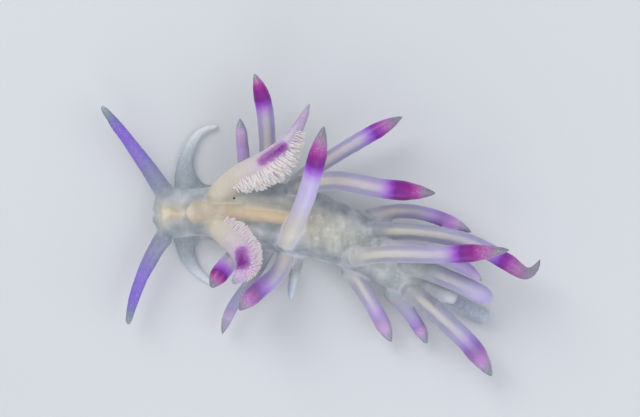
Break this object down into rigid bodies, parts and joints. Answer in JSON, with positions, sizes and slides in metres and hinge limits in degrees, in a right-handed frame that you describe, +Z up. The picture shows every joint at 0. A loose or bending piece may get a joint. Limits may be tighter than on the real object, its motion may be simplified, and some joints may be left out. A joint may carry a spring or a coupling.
{
  "type": "flabellina nudibranch",
  "caption": "Life-size still model of a crawling aeolid sea slug with long violet-banded cerata, oral tentacles and papillate rhinophores.",
  "frame": {"origin": "middle of the animal's box, on the floor that the sole rests on", "axes": "+X from head to tail, +Y to the animal's right side, +Z up out of the back"},
  "size_m": [0.0438, 0.0302, 0.0121],
  "materials": {
    "skin": "wet translucent grey-blue skin",
    "foot": "wet translucent pale grey skin",
    "eye": "glossy black bead",
    "oral_tentacle": "wet violet skin with grey tips",
    "rhinophore": "wet pale skin with a magenta patch",
    "ceras": "wet lavender skin with a violet to magenta band"
  },
  "bodies": {
    "root": {"head": "skin", "trunk_front": "skin", "trunk_middle": "skin", "trunk_rear": "skin", "tail": "skin", "foot_front": "foot", "foot_middle": "foot", "foot_rear": "foot", "foot_corner_right": "foot", "foot_corner_left": "foot", "eye_right": "eye", "eye_left": "eye", "oral_tentacle_right": "oral_tentacle", "oral_tentacle_left": "oral_tentacle", "rhinophore_right": "rhinophore", "rhinophore_left": "rhinophore", "ceras_right_1": "ceras", "ceras_right_2": "ceras", "ceras_right_3": "ceras", "ceras_right_4": "ceras", "ceras_right_5": "ceras", "ceras_right_6": "ceras", "ceras_right_7": "ceras", "ceras_right_8": "ceras", "ceras_left_1": "ceras", "ceras_left_2": "ceras", "ceras_left_3": "ceras", "ceras_left_4": "ceras", "ceras_left_5": "ceras", "ceras_left_6": "ceras", "ceras_left_7": "ceras", "ceras_left_8": "ceras", "ceras_left_9": "ceras", "ceras_left_10": "ceras"}
  },
  "joints": []
}
